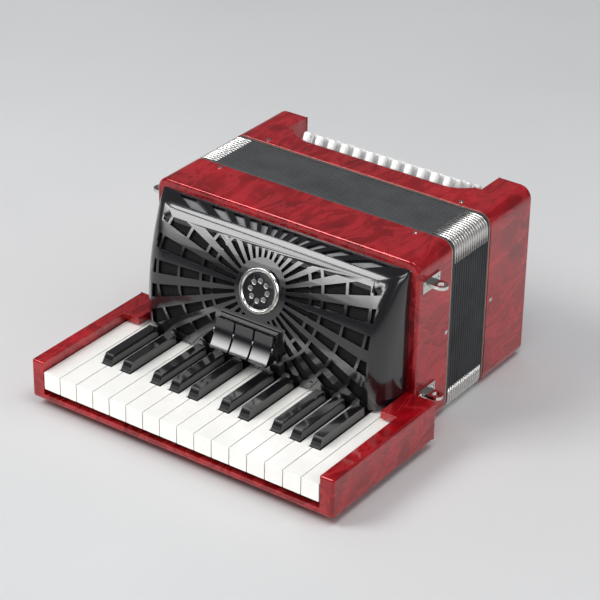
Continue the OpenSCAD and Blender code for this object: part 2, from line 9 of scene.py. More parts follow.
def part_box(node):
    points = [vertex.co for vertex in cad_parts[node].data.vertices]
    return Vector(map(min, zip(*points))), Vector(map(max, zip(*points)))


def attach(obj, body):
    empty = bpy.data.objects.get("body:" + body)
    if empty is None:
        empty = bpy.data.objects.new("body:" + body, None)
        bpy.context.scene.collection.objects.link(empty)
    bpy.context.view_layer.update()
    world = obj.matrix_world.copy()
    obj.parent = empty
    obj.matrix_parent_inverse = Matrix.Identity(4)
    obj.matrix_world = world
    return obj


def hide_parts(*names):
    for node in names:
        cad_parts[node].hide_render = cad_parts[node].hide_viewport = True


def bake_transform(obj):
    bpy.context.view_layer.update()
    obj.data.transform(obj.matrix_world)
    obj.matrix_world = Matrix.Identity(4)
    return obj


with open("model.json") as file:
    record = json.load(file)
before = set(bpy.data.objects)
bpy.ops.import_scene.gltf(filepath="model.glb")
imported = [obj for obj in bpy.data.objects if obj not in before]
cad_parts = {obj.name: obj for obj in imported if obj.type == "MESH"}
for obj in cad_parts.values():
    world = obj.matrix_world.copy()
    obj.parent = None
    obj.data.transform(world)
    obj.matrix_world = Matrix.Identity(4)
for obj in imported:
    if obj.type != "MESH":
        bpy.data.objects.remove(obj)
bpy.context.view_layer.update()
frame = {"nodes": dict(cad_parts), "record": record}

MM = 0.001
TREBLE, BASS = "treble_body", "bass_body"


# ---------------------------------------------------------------- materials

class Mat:
    """A node material with a few helpers, so that each finish below reads as a recipe."""

    def __init__(self, name):
        self.mat = bpy.data.materials.new(name)
        self.mat.use_nodes = True
        self.tree = self.mat.node_tree
        self.bsdf = self.tree.nodes["Principled BSDF"]
        self.coord = self.node("ShaderNodeTexCoord").outputs["Object"]

    def node(self, kind, **values):
        n = self.tree.nodes.new(kind)
        for key, value in values.items():
            n.inputs[key].default_value = value
        return n

    def link(self, a, b):
        self.tree.links.new(a, b)

    def set(self, **values):
        for key, value in values.items():
            self.bsdf.inputs[key.replace("_", " ")].default_value = value

    def mapped(self, scale=(1, 1, 1), rotation=(0, 0, 0)):
        n = self.node("ShaderNodeMapping")
        n.inputs["Scale"].default_value = scale
        n.inputs["Rotation"].default_value = rotation
        self.link(self.coord, n.inputs["Vector"])
        return n.outputs["Vector"]

    def noise(self, scale, detail=4.0, rough=0.5, vector=None, distortion=0.0):
        n = self.node("ShaderNodeTexNoise", Scale=scale, Detail=detail, Roughness=rough,
                      Distortion=distortion)
        self.link(vector or self.coord, n.inputs["Vector"])
        return n.outputs["Fac"]

    def wave(self, scale, direction, distortion=0.0):
        n = self.node("ShaderNodeTexWave", Scale=scale, Distortion=distortion)
        n.wave_type = "BANDS"
        n.bands_direction = direction
        self.link(self.coord, n.inputs["Vector"])
        return n.outputs["Fac"]

    def ramp(self, fac, stops):
        n = self.node("ShaderNodeValToRGB")
        els = n.color_ramp.elements
        while len(els) < len(stops):
            els.new(0.5)
        for e, (pos, colour) in zip(els, stops):
            e.position = pos
            e.color = (*colour, 1.0)
        self.link(fac, n.inputs["Fac"])
        return n.outputs["Color"]

    def maths(self, op, a, b):
        n = self.node("ShaderNodeMath")
        n.operation = op
        for i, v in enumerate((a, b)):
            if isinstance(v, (int, float)):
                n.inputs[i].default_value = v
            else:
                self.link(v, n.inputs[i])
        return n.outputs[0]

    def mix(self, fac, a, b):
        n = self.node("ShaderNodeMix")
        n.data_type = "RGBA"
        self.link(fac, n.inputs["Factor"])
        for sock, v in ((n.inputs[6], a), (n.inputs[7], b)):
            if isinstance(v, tuple):
                sock.default_value = (*v, 1.0)
            else:
                self.link(v, sock)
        return n.outputs[2]

    def spread(self, fac, low, high):
        n = self.node("ShaderNodeMapRange")
        n.inputs["To Min"].default_value = low
        n.inputs["To Max"].default_value = high
        self.link(fac, n.inputs["Value"])
        return n.outputs["Result"]

    def bump(self, height, strength, distance=0.001):
        n = self.node("ShaderNodeBump", Strength=strength, Distance=distance)
        self.link(height, n.inputs["Height"])
        self.link(n.outputs["Normal"], self.bsdf.inputs["Normal"])

    def wear(self):
        """1 along worn edges, 0 on faces."""
        geo = self.node("ShaderNodeNewGeometry")
        return self.ramp(geo.outputs["Pointiness"], [(0.52, (0, 0, 0)), (0.62, (1, 1, 1))])


def pearl_red():
    """Deep red celluloid: slow clouds from dark to light, streaked with bright pearly folds."""
    m = Mat("celluloid_red_pearl")
    clouds = m.noise(24, 4, 0.55, distortion=0.8)
    folds = m.noise(54, 5, 0.6, m.mapped((1.0, 0.4, 0.9), (0, 0, 0.5)), 1.2)
    light = m.ramp(folds, [(0.36, (0, 0, 0)), (0.47, (0.15, 0.15, 0.15)), (0.56, (1, 1, 1)),
                           (0.66, (0.1, 0.1, 0.1))])
    base = m.ramp(clouds, [(0.30, (0.21, 0.0004, 0.003)), (0.50, (0.36, 0.0010, 0.006)),
                           (0.70, (0.54, 0.0030, 0.011))])
    m.link(m.mix(m.maths("MULTIPLY", light, 0.38), base, (0.88, 0.045, 0.058)), m.bsdf.inputs["Base Color"])
    m.link(m.spread(folds, 0.21, 0.34), m.bsdf.inputs["Roughness"])
    m.set(Metallic=0.22, Specular_IOR_Level=0.25, Coat_Weight=0.85, Coat_Roughness=0.05, Coat_IOR=1.48)
    m.bump(m.noise(160, 3), 0.03, 0.0004)
    return m.mat


def scaled(colour, k):
    return tuple(min(1.0, c * k) for c in colour)


def gloss(name, colour, rough, coat, spot=0.12, bump=0.03):
    """Moulded plastic under a clear coat. Its colour varies by a share spot, in patches about 2 cm wide."""
    m = Mat(name)
    patches = m.ramp(m.noise(55, 4), [(0.3, scaled(colour, 1 - spot)), (0.7, scaled(colour, 1 + spot))])
    m.link(patches, m.bsdf.inputs["Base Color"])
    fine = m.noise(900, 3)
    m.link(m.spread(fine, rough * 0.7, rough * 1.5), m.bsdf.inputs["Roughness"])
    m.set(Coat_Weight=coat, Coat_Roughness=0.07)
    m.bump(m.noise(240, 3), bump, 0.0004)
    return m.mat


def metal(name, colour, rough, brushed=None, grain_depth=0.25):
    """Metal with dull patches, brushed along an axis or with an even grain."""
    m = Mat(name)
    stretch = {"X": (4, 900, 900), "Z": (900, 900, 4), None: (300, 300, 300)}[brushed]
    grain = m.noise(1.0, 5, 0.6, m.mapped(stretch))
    dull = m.noise(40, 4)
    m.link(m.mix(m.spread(dull, 0.0, 0.35), colour, scaled(colour, 0.72)), m.bsdf.inputs["Base Color"])
    m.link(m.spread(grain, rough * 0.7, rough * 1.6), m.bsdf.inputs["Roughness"])
    m.set(Metallic=1.0)
    m.bump(grain, grain_depth, 0.00015)
    return m.mat


def wood(name, dark, light, along):
    m = Mat(name)
    scale = {"X": (18, 160, 160), "Y": (160, 18, 160)}[along]
    g = m.noise(1.0, 8, 0.65, m.mapped(scale), 1.2)
    m.link(m.ramp(g, [(0.32, dark), (0.62, light)]), m.bsdf.inputs["Base Color"])
    m.link(m.spread(g, 0.42, 0.62), m.bsdf.inputs["Roughness"])
    m.bump(g, 0.2, 0.0003)
    return m.mat


WAVE_SCALE = 0.16            # scale at which a wave texture goes from trough to crest in about one unit


def cloth(name, colour, pitch, rough, sheen, strength):
    """Woven cloth, whose threads and the gaps between them are each about pitch metres wide."""
    m = Mat(name)
    warp, weft, across = (m.wave(WAVE_SCALE / pitch, axis, 0.4) for axis in "XZY")
    weave = m.maths("MULTIPLY", m.maths("ADD", warp, weft), m.maths("ADD", across, 0.5))
    tone = m.noise(35, 5)
    shade = m.ramp(tone, [(0.3, scaled(colour, 0.75)), (0.7, scaled(colour, 1.25))])
    m.link(shade, m.bsdf.inputs["Base Color"])
    m.link(m.spread(tone, rough - 0.12, rough + 0.08), m.bsdf.inputs["Roughness"])
    m.set(Sheen_Weight=sheen, Sheen_Roughness=0.5)
    m.bump(weave, strength, 0.0003)
    return m.mat


def leather(name, colour):
    """Leather with pores about 1.6 mm apart, lighter where its edges are worn."""
    m = Mat(name)
    cells = m.node("ShaderNodeTexVoronoi", Scale=620.0)
    cells.feature = "DISTANCE_TO_EDGE"
    m.link(m.coord, cells.inputs["Vector"])
    grain = m.ramp(cells.outputs["Distance"], [(0.0, (0, 0, 0)), (0.22, (1, 1, 1))])
    tone = m.noise(28, 5)
    sound = m.ramp(tone, [(0.3, scaled(colour, 0.7)), (0.7, scaled(colour, 1.5))])
    m.link(m.mix(m.wear(), sound, tuple(c * 4 + 0.02 for c in colour)), m.bsdf.inputs["Base Color"])
    m.link(m.spread(tone, 0.30, 0.54), m.bsdf.inputs["Roughness"])
    m.set(Coat_Weight=0.2, Coat_Roughness=0.3)
    m.bump(grain, 0.6, 0.0004)
    return m.mat


RED = pearl_red()
GRILLE = gloss("grille_gloss_black", (0.005, 0.005, 0.006), 0.17, 0.8, bump=0.008)
BLACK = gloss("plastic_gloss_black", (0.008, 0.008, 0.009), 0.13, 1.0, bump=0.012)
BOARD = gloss("button_board_black", (0.022, 0.02, 0.022), 0.22, 0.6)
KEY_WHITE = gloss("key_top_white", (0.83, 0.82, 0.78), 0.16, 0.7, 0.024, 0.02)
KEY_BLACK = gloss("key_top_black", (0.006, 0.006, 0.007), 0.16, 0.9, bump=0.012)
BUTTON = gloss("button_white", (0.86, 0.86, 0.84), 0.18, 0.7, 0.024, 0.02)
NICKEL = metal("nickel_plate", (0.78, 0.77, 0.74), 0.13, None, 0.07)
CORNER = metal("corner_metal", (0.82, 0.81, 0.79), 0.27, None, 0.06)
STEEL = metal("steel_rod", (0.56, 0.57, 0.58), 0.28, "X")
ALU = metal("aluminium_lever", (0.72, 0.73, 0.74), 0.32, "Z")
TRIM = metal("bellows_edge_trim", (0.72, 0.69, 0.60), 0.33, "X", 0.15)
WOOD = wood("spruce_block", (0.34, 0.20, 0.10), (0.62, 0.44, 0.25), "X")
KEY_WOOD = wood("key_timber", (0.50, 0.34, 0.19), (0.72, 0.56, 0.36), "Y")
FELT = cloth("pallet_felt", (0.35, 0.03, 0.03), 0.0010, 0.95, 0.6, 0.8)
FOLD = cloth("bellows_cloth", (0.074, 0.078, 0.082), 0.0006, 0.62, 0.25, 0.12)
TAPE = cloth("bellows_tape", (0.022, 0.024, 0.024), 0.0006, 0.6, 0.2, 0.3)
MESH = cloth("grille_cloth", (0.006, 0.006, 0.007), 0.0008, 0.9, 0.03, 0.8)
# a paler copy of the grille cloth for the part behind the top band: painted light from above
MESH_TOP_PAINTED_LIGHT = cloth("grille_cloth_band_painted_light", (0.30, 0.305, 0.31), 0.0008, 0.8, 0.3, 0.8)
LEATHER = leather("strap_leather", (0.018, 0.016, 0.015))
THREAD = cloth("strap_thread", (0.30, 0.28, 0.25), 0.0005, 0.8, 0.3, 0.5)

SLOT_MAT = {"celluloid": RED, "grille_black": GRILLE, "register_black": BLACK, "button_board": BOARD,
            "nickel": NICKEL, "steel": STEEL, "wood": WOOD, "reed_metal": ALU, "frame_trim": TRIM,
            "key_white": KEY_WHITE, "key_black": KEY_BLACK, "button_white": BUTTON, "bellows_cloth": FOLD,
            "strap_leather": LEATHER}
NODE_SLOT = {s["node"]: s["material_slot"] for s in frame["record"]["subparts"]}


# ---------------------------------------------------------------- mesh helpers

def new_object(name, verts, faces, mats, body, mat_of=None):
    """A new piece."""
    me = bpy.data.meshes.new(name)
    me.from_pydata(verts, [], faces)
    me.validate()
    o = bpy.data.objects.new(name, me)
    bpy.context.scene.collection.objects.link(o)
    for m in mats:
        me.materials.append(m)
    for p in me.polygons:
        p.use_smooth = True
        if mat_of:
            p.material_index = mat_of(p)
    bm = bmesh.new()
    bm.from_mesh(me)
    bmesh.ops.recalc_face_normals(bm, faces=bm.faces)
    bm.to_mesh(me)
    bm.free()
    if body:
        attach(o, body)
    return o


SHARP = 32                   # degrees between two faces from which their edge is bevelled


def add_bevel(o, width, segments, angle=SHARP):
    b = o.modifiers.new("edge", "BEVEL")
    b.width = width
    b.segments = segments
    b.limit_method = "ANGLE"
    b.angle_limit = math.radians(angle)
    b.use_clamp_overlap = True
    b.harden_normals = True
    return b


def smooth_by_angle(o, angle):
    """Shade smoothly across edges flatter than angle degrees."""
    for p in o.data.polygons:
        p.use_smooth = True
    o.data.set_sharp_from_angle(angle=math.radians(angle))


FINE_EDGE = 0.25 * MM        # the small bevel that round_outer_edges gives to all other sharp edges
FLAT = 0.1 * MM              # how far beyond an outermost face the piece may still reach
AT_JOINT = 0.05 * MM         # a point this close to the plane of a joint lies in it


def round_outer_edges(o, width, joint_y):
    """Round the edges between outermost faces, other than those at joint_y, where the neighbour joins on."""
    bm = bmesh.new()
    bm.from_mesh(o.data)
    weight = bm.edges.layers.float.new("bevel_weight_edge")
    points = [v.co.copy() for v in bm.verts]
    outermost = {f: max(p.dot(f.normal) for p in points) - f.calc_center_median().dot(f.normal) < FLAT
                 for f in bm.faces}
    for e in bm.edges:
        if len(e.link_faces) == 2 and e.calc_face_angle(0.0) > math.radians(SHARP):
            free = any(abs(v.co.y - joint_y) > AT_JOINT for v in e.verts)
            e[weight] = 1.0 if free and all(outermost[f] for f in e.link_faces) else FINE_EDGE / width
    bm.to_mesh(o.data)
    bm.free()
    b = add_bevel(o, width, 4)
    b.limit_method = "WEIGHT"
    b.use_clamp_overlap = False


def body_of(node):
    for body, nodes in frame["record"]["behaviour"]["bodies"].items():
        if node in nodes:
            return body


def copy_of(node, mats, bevel, segments=3, cuts=(), mat_of=None, angle=SHARP, tiny=0.0):
    """A piece that stands for a CAD node: its shape with bevelled edges, or with none yet where bevel is 0.

    It is cut at planes, so that mat_of can give each face its own one of mats. Edges shorter than tiny go."""
    bm = bmesh.new()
    bm.from_mesh(frame["nodes"][node].data)
    bmesh.ops.remove_doubles(bm, verts=bm.verts, dist=1e-5 if tiny else 1e-6)
    for co, no in cuts:
        bmesh.ops.bisect_plane(bm, geom=bm.verts[:] + bm.edges[:] + bm.faces[:], plane_co=co, plane_no=no)
    bm.faces.ensure_lookup_table()
    for f in bm.faces:
        f.material_index = mat_of(f.calc_center_median(), f.normal) if mat_of else 0
    bmesh.ops.dissolve_limit(bm, angle_limit=math.radians(1.0), verts=bm.verts, edges=bm.edges,
                             delimit={"MATERIAL"})
    if tiny:
        bmesh.ops.dissolve_degenerate(bm, dist=tiny, edges=bm.edges)
    me = bpy.data.meshes.new(node + "_look")
    bm.to_mesh(me)
    bm.free()
    for m in mats:
        me.materials.append(m)
    o = bpy.data.objects.new(node + "_look", me)
    bpy.context.scene.collection.objects.link(o)
    smooth_by_angle(o, 30)
    if bevel:
        add_bevel(o, bevel, segments, angle)
    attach(o, body_of(node))
    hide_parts(node)
    return o


# ---------------------------------------------------------------- CAD nodes that keep their shape

for name, o in frame["nodes"].items():
    mat = SLOT_MAT[NODE_SLOT[name]]
    if not o.data.materials:
        o.data.materials.append(mat)
    for i in range(len(o.material_slots)):
        o.material_slots[i].link = "OBJECT"
        o.material_slots[i].material = mat
    smooth_by_angle(o, 28)


# ---------------------------------------------------------------- casings, with rounded edges

# pieces with all their edges bevelled alike, and the width in millimetres
BEVELLED = {"bass_case": 0.3, "register_block": 0.6, "bass_board": 0.4, "air_button": 1.0,
            "strap_brackets": 0.4}
for node, width in BEVELLED.items():
    copy_of(node, [SLOT_MAT[NODE_SLOT[node]]], width * MM)

# pieces with rounded outer edges: the width, and whether the neighbour is at the low (0) or high (1) end in Y
ROUNDED = {"treble_case": (3.0, 1), "bass_cover": (2.6, 0), "keyboard_frame": (2.6, 1)}
for node, (width, joint) in ROUNDED.items():
    case = copy_of(node, [SLOT_MAT[NODE_SLOT[node]]], 0)
    round_outer_edges(case, width * MM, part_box(node)[joint][1])

copy_of("treble_grille", [GRILLE], 0.4 * MM, segments=2, angle=40, tiny=0.05 * MM)

ALONG_Y, ALONG_Z = (0, 1, 0), (0, 0, 1)
TRIM_LINE = 1.7 * MM


def bellows_frame_look(node, casing_y, out):
    """A light trim line against the casing, and the dark cloth edge of the bellows beyond it."""
    line = casing_y + out * TRIM_LINE
    copy_of(node, [TRIM, TAPE], 0.4 * MM, cuts=[((0, line, 0), ALONG_Y)],
            mat_of=lambda c, n: 1 if (c.y - line) * out > 0 else 0)


bellows_frame_look("treble_bellows_frame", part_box("treble_case")[1][1], 1)
bellows_frame_look("bass_bellows_frame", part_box("bass_case")[0][1], -1)


# the grille's face is part of a cylinder along X: its radius, and its axis behind the grille's back and above
# the floor
FACE_R, FACE_Y, FACE_Z = 164.2 * MM, 122.8 * MM, 68.1 * MM
BADGE_Z = 116 * MM
BADGE_TILT = math.asin((BADGE_Z - FACE_Z) / FACE_R)
BADGE_DISC_R = 16.6 * MM
BADGE_FLOOR = 1.6 * MM       # height above the grille's face that only the disc's front face passes


def badge():
    """Black enamel disc in a raised nickel ring, with the ring of dimples showing metal."""
    out = Vector((0, -math.cos(BADGE_TILT), math.sin(BADGE_TILT)))
    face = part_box("treble_grille")[1][1] + FACE_Y - FACE_R * math.cos(BADGE_TILT)
    mid = Vector((0, face, FACE_Z + FACE_R * math.sin(BADGE_TILT)))

    def mat_of(c, n):
        d = c - mid
        h = d.dot(out)
        r = (d - out * h).length
        facing = n.dot(out)
        return 1 if r <= BADGE_DISC_R and facing > 0.9 and h > BADGE_FLOOR else 0

    copy_of("grille_badge", [NICKEL, BLACK], 0.25 * MM, mat_of=mat_of)


badge()


# ---------------------------------------------------------------- keys

KEY_NODES = sorted(n for n in frame["nodes"] if n.startswith("key_") and n[4:6].isdigit())
GRILLE_LOW, GRILLE_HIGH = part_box("treble_grille")
WHITE_TOP = GRILLE_LOW[2] - 3 * MM
HIDDEN_Y = GRILLE_HIGH[1] - 23.9 * MM      # beyond this a key is hidden in the casing
KEY_TOP_T = 2.6 * MM                       # thickness of a white key's top
KEY_LIP = 2 * MM                           # thickness of the same sheet down its front
BLACK_DROP = 9 * MM                        # how far a black key's coloured part reaches below the white tops
FELT_T = 3.2 * MM


def key_look(node):
    """A coloured top on a timber key, with a metal lever and a felt pallet at its hidden end."""
    low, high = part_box(node)
    black = NODE_SLOT[node] == "key_black"
    felt_y = high[1] - FELT_T
    top_z = WHITE_TOP - (BLACK_DROP if black else KEY_TOP_T)
    front_y = low[1] + KEY_LIP

    def mat_of(c, n):
        if c.y > felt_y:
            return 3
        if c.y > HIDDEN_Y:
            return 2
        return 0 if c.z > top_z or (not black and c.y < front_y) else 1

    cuts = [((0, HIDDEN_Y, 0), ALONG_Y), ((0, felt_y, 0), ALONG_Y), ((0, 0, top_z), ALONG_Z)]
    if not black:
        cuts.append(((0, front_y, 0), ALONG_Y))
    copy_of(node, [KEY_BLACK if black else KEY_WHITE, KEY_WOOD, ALU, FELT], (0.7 if black else 0.5) * MM,
            cuts=cuts, mat_of=mat_of)


for node in KEY_NODES:
    key_look(node)


# ---------------------------------------------------------------- registers and bass buttons

for i in (1, 2, 3):
    copy_of("register_%d" % i, [BLACK], 0.9 * MM, segments=4)
for i in (1, 2, 3, 4):
    copy_of("bass_buttons_%d" % i, [BUTTON], 0.4 * MM, segments=2)


# ---------------------------------------------------------------- bellows

CASE_LOW, CASE_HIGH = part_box("treble_case")
FOLD_Y0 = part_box("bellows_folds_1")[0][1]
FOLD_Y1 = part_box("bellows_folds_3")[1][1]
HALF_X = (CASE_HIGH[0] - CASE_LOW[0]) / 2
HALF_Z = (CASE_HIGH[2] - CASE_LOW[2]) / 2
MID_Z = (CASE_HIGH[2] + CASE_LOW[2]) / 2
CORNER_R = 12 * MM
SIDE_END = 14 * MM           # how far from a corner the points along a side stop
ARC = 6                      # segments in a corner
SIDE_PLACES = (0.1, 0.3, 0.5, 0.7, 0.9)
FOLDS = 15
DEPTH = 17 * MM
OUTSET = 0.6 * MM            # the creases sit this far inside the casings' outline
CORNERS = ((1, 1), (-1, 1), (-1, -1), (1, -1))


def ring_points(depth):
    """Outline of the bellows at a depth below the surface: a ring of (x, z), equally many at any depth."""
    hx, hz = HALF_X - OUTSET - depth, HALF_Z - OUTSET - depth
    r = max(CORNER_R - OUTSET - depth, 1.2 * MM)
    pts = []
    for q, (sx, sz) in enumerate(CORNERS):
        cx, cz = sx * (hx - r), sz * (hz - r)
        for j in range(ARC + 1):
            a = math.pi / 2 * (q + j / ARC)
            pts.append((cx + r * math.cos(a), cz + r * math.sin(a)))
        # points along the side that follows, at places that don't depend on the depth
        for t in SIDE_PLACES:
            if q % 2 == 0:
                pts.append((sx * (HALF_X - SIDE_END) * (1 - 2 * t), sz * hz))
            else:
                pts.append((sx * hx, sz * (HALF_Z - SIDE_END) * (1 - 2 * t)))
    return pts


# cross-section of one fold: (depth, place along the fold from 0 to 1), outer side, inner side, corner cap
CREST = [(DEPTH, 0.0), (8 * MM, 0.13), (3 * MM, 0.22), (0.9 * MM, 0.31), (0.2 * MM, 0.40), (0.0, 0.5),
         (0.2 * MM, 0.60), (0.9 * MM, 0.69), (3 * MM, 0.78), (8 * MM, 0.87), (DEPTH, 1.0)]
LINING = [(DEPTH + 1.2 * MM, 1.0), (9 * MM, 0.72), (2.4 * MM, 0.56), (2.0 * MM, 0.5), (2.4 * MM, 0.44),
          (9 * MM, 0.28), (DEPTH + 1.2 * MM, 0.0)]
CAP = [(5.0 * MM, 0.17), (2.0 * MM, 0.22), (0.5 * MM, 0.30), (0.0, 0.40), (0.0, 0.60), (0.5 * MM, 0.70),
       (2.0 * MM, 0.78), (5.0 * MM, 0.83)]
CAP_REACH = 11 * MM          # how far a cap goes along each side, past the corner's curve
CAP_T = 0.45 * MM


def blend_evenly(o):
    """Bakes the piece's placement into its mesh."""
    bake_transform(o)


def fold(k, y0, p):
    """One fold of the bellows, p long from y0: a closed ring, open in the middle."""
    section = CREST + LINING
    verts, faces = [], []
    n = len(ring_points(0))
    for d, t in section:
        verts += [(x, y0 + t * p, MID_Z + z) for x, z in ring_points(d)]
    m = len(section)
    for i in range(m):
        for j in range(n):
            a, b = i * n + j, i * n + (j + 1) % n
            c, d = ((i + 1) % m) * n + (j + 1) % n, ((i + 1) % m) * n + j
            faces.append((a, b, c, d))
    o = new_object("bellows_fold_%02d" % (k + 1), verts, faces, [FOLD], None)
    blend_evenly(o)
    return o


def fold_corners(k, y0, p):
    """Bent metal caps over one crease, one at each corner of the bellows."""
    verts, faces = [], []
    hx, hz = HALF_X - OUTSET, HALF_Z - OUTSET
    for sx, sz in CORNERS:
        base = len(verts)
        rows = []
        for layer in (CAP_T, 0.0):
            for d, t in CAP:
                deep = d - layer
                r = CORNER_R - OUTSET - deep
                ex, ez = hx - deep, hz - deep
                row = [(sx * (hx - CORNER_R - CAP_REACH), sz * ez)]
                for j in range(ARC * 2 + 1):
                    a = math.pi / 2 * (1 - j / (ARC * 2))
                    row.append((sx * (ex - r + r * math.cos(a)), sz * (ez - r + r * math.sin(a))))
                row.append((sx * ex, sz * (hz - CORNER_R - CAP_REACH)))
                rows.append([(x, y0 + t * p, MID_Z + z) for x, z in row])
        n = len(rows[0])
        for row in rows:
            verts += row
        m = len(CAP)
        order = list(range(m)) + list(range(2 * m - 1, m - 1, -1))
        for a, b in zip(order, order[1:] + order[:1]):
            for j in range(n - 1):
                faces.append((base + a * n + j, base + a * n + j + 1, base + b * n + j + 1, base + b * n + j))
        for end in (0, n - 1):
            faces.append(tuple(base + a * n + end for a in order))
    o = new_object("bellows_corners_%02d" % (k + 1), verts, faces, [CORNER], None)
    blend_evenly(o)


FOLD_P = (FOLD_Y1 - FOLD_Y0) / FOLDS
for k in range(FOLDS):
    fold(k, FOLD_Y0 + k * FOLD_P, FOLD_P)
    fold_corners(k, FOLD_Y0 + k * FOLD_P, FOLD_P)
# the fifteen folds stand in for the three CAD rings, which are hidden
for i in (1, 2, 3):
    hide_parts("bellows_folds_%d" % i)


# ---------------------------------------------------------------- cloth behind the grille

END_R, END_CURVE = 25 * MM, 2.6


def end_depth(x, half):
    """Share of the grille's depth at x: it falls away on a rounded curve towards the grille's ends."""
    t = min(max(0.0, (abs(x) - (half - END_R)) / END_R), 0.995)
    return (1 - t ** END_CURVE) ** (1 / END_CURVE)


def grille_cloth():
    """Thin cloth stretched behind the grille's face and top band, following its curve. Behind the top band it
    gets a paler copy of its cloth, which is painted light from above.
    """
    gap = 3.0 * MM           # from the grille's outer face in to the cloth
    thick = 0.35 * MM
    y_back = GRILLE_HIGH[1]
    face_r, face_y = FACE_R - gap, y_back + FACE_Y
    half_in = (GRILLE_HIGH[0] - GRILLE_LOW[0]) / 2 - gap
    half = half_in - 2 * MM
    z0, z1 = GRILLE_LOW[2] + 4 * MM, GRILLE_HIGH[2] - 9.5 * MM
    path = []
    steps = 26
    for i in range(steps + 1):
        z = z0 + (z1 - z0) * i / steps
        path.append((face_y - math.sqrt(face_r ** 2 - (z - FACE_Z) ** 2), z))
    # past the face, two points behind the top band, which leans back to the casing
    path.append((y_back - 8 * MM, GRILLE_HIGH[2] - 6.2 * MM))
    path.append((y_back - 2 * MM, GRILLE_HIGH[2] - 4.0 * MM))
    cols = 60
    verts, faces = [], []
    for layer in (0, 1):
        for y, z in path:
            for j in range(cols + 1):
                x = -half + 2 * half * j / cols
                yy = y_back - (y_back - y) * end_depth(x, half_in)
                verts.append((x, yy + layer * thick, z - layer * thick * 0.3))
    n = cols + 1
    rows = len(path)
    reg_low, reg_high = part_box("register_block")
    reg_mid = (reg_low[0] + reg_high[0]) / 2
    cut_x, cut_z = 30 * MM, reg_high[2] - 4 * MM      # the opening for the register housing
    open_cells = set()
    for i in range(rows - 1):
        for j in range(cols):
            x = -half + 2 * half * (j + 0.5) / cols
            if abs(x - reg_mid) < cut_x and path[i + 1][1] < cut_z:
                open_cells.add((i, j))

    def idx(layer, i, j):
        return (layer * rows + i) * n + j

    def solid(i, j):
        return 0 <= i < rows - 1 and 0 <= j < cols and (i, j) not in open_cells

    for i in range(rows - 1):
        for j in range(cols):
            if not solid(i, j):
                continue
            faces.append((idx(0, i, j), idx(0, i, j + 1), idx(0, i + 1, j + 1), idx(0, i + 1, j)))
            faces.append((idx(1, i, j), idx(1, i + 1, j), idx(1, i + 1, j + 1), idx(1, i, j + 1)))
            for (ni, nj, a, b) in ((i - 1, j, (i, j), (i, j + 1)), (i + 1, j, (i + 1, j), (i + 1, j + 1)),
                                   (i, j - 1, (i, j), (i + 1, j)), (i, j + 1, (i, j + 1), (i + 1, j + 1))):
                if not solid(ni, nj):
                    faces.append((idx(0, *a), idx(0, *b), idx(1, *b), idx(1, *a)))
    band = GRILLE_HIGH[2] - 9 * MM      # above this the cloth lies behind the top band and gets the paler copy, painted light from above
    o = new_object("grille_cloth", verts, faces, [MESH, MESH_TOP_PAINTED_LIGHT], TREBLE,
                   mat_of=lambda p: 1 if p.center.z > band else 0)
    bm = bmesh.new()
    bm.from_mesh(o.data)
    bmesh.ops.delete(bm, geom=[v for v in bm.verts if not v.link_faces], context="VERTS")
    bm.to_mesh(o.data)
    bm.free()


grille_cloth()


# ---------------------------------------------------------------- hand strap

STRAP_LOW, STRAP_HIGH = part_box("hand_strap")
STRAP_Z = (STRAP_LOW[2] + STRAP_HIGH[2]) / 2
COVER_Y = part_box("bass_cover")[1][1]


def strap_mid(u):
    """Middle line of the strap at u from -1 to 1: (x, y, tangent angle)."""
    rise = STRAP_HIGH[1] - COVER_Y
    half = (STRAP_HIGH[0] - STRAP_LOW[0]) / 2
    r = (half ** 2 + rise ** 2) / (2 * rise)
    a = u * math.asin(half / r)
    return r * math.sin(a), COVER_Y + rise - r + r * math.cos(a), a


def strap_half(u):
    """Half the strap's width at u. It narrows a little towards its ends."""
    return (STRAP_HIGH[2] - STRAP_LOW[2]) / 2 * (1 - 0.16 * abs(u) ** 4)


def strap_band():
    """A padded band along the strap's curve: thick in its middle, thinner at its edges, with round edges."""
    cols, rows = 64, 14
    thick, crown, sunk = 3.0 * MM, 0.5 * MM, 1.9 * MM
    end_u = 0.985            # its ends stop just short of the cover's surface
    verts, faces = [], []
    across = [-1 + 2 * i / rows for i in range(rows + 1)]
    bulge = {v: math.sqrt(max(0.0, 1 - abs(v) ** 6)) for v in across}
    ring = [(v, thick / 2 * (0.35 + 0.65 * bulge[v]) + crown * (1 - v * v)) for v in across]
    ring += [(v, -thick / 2 * (0.4 + 0.6 * bulge[v])) for v in reversed(across)]
    for j in range(cols + 1):
        u = end_u * (2 * j / cols - 1)
        x, y, a = strap_mid(u)
        for v, h in ring:
            d = h - sunk
            verts.append((x + math.sin(a) * d, y + math.cos(a) * d, STRAP_Z + v * strap_half(u)))
    n = len(ring)
    for j in range(cols):
        for i in range(n):
            a, b = j * n + i, j * n + (i + 1) % n
            faces.append((a, b, b + n, a + n))
    faces.append(tuple(range(n)))
    faces.append(tuple(cols * n + i for i in range(n)))
    o = new_object("hand_strap_leather", verts, faces, [LEATHER], BASS)
    smooth_by_angle(o, 60)
    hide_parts("hand_strap")


strap_band()

STITCHES = 58
STITCH_REACH_U = 0.93        # how far along the strap the row of stitches goes, its ends being at -1 and 1
STITCH_HALF_LENGTH, STITCH_HALF_WIDTH, STITCH_HALF_HEIGHT = 1.3 * MM, 0.35 * MM, 0.28 * MM
STITCH_SUNK = 0.28 * MM
STITCH_END_SUNK = 0.15 * MM  # the ends go this much deeper into the leather
STITCH_SIDES = 6
# along a stitch: (place from its middle in half lengths, thickness as a share, whether it is an end)
STITCH_RINGS = ((-1.0, 0.45, True), (-0.7, 1.0, False), (0.7, 1.0, False), (1.0, 0.45, True))


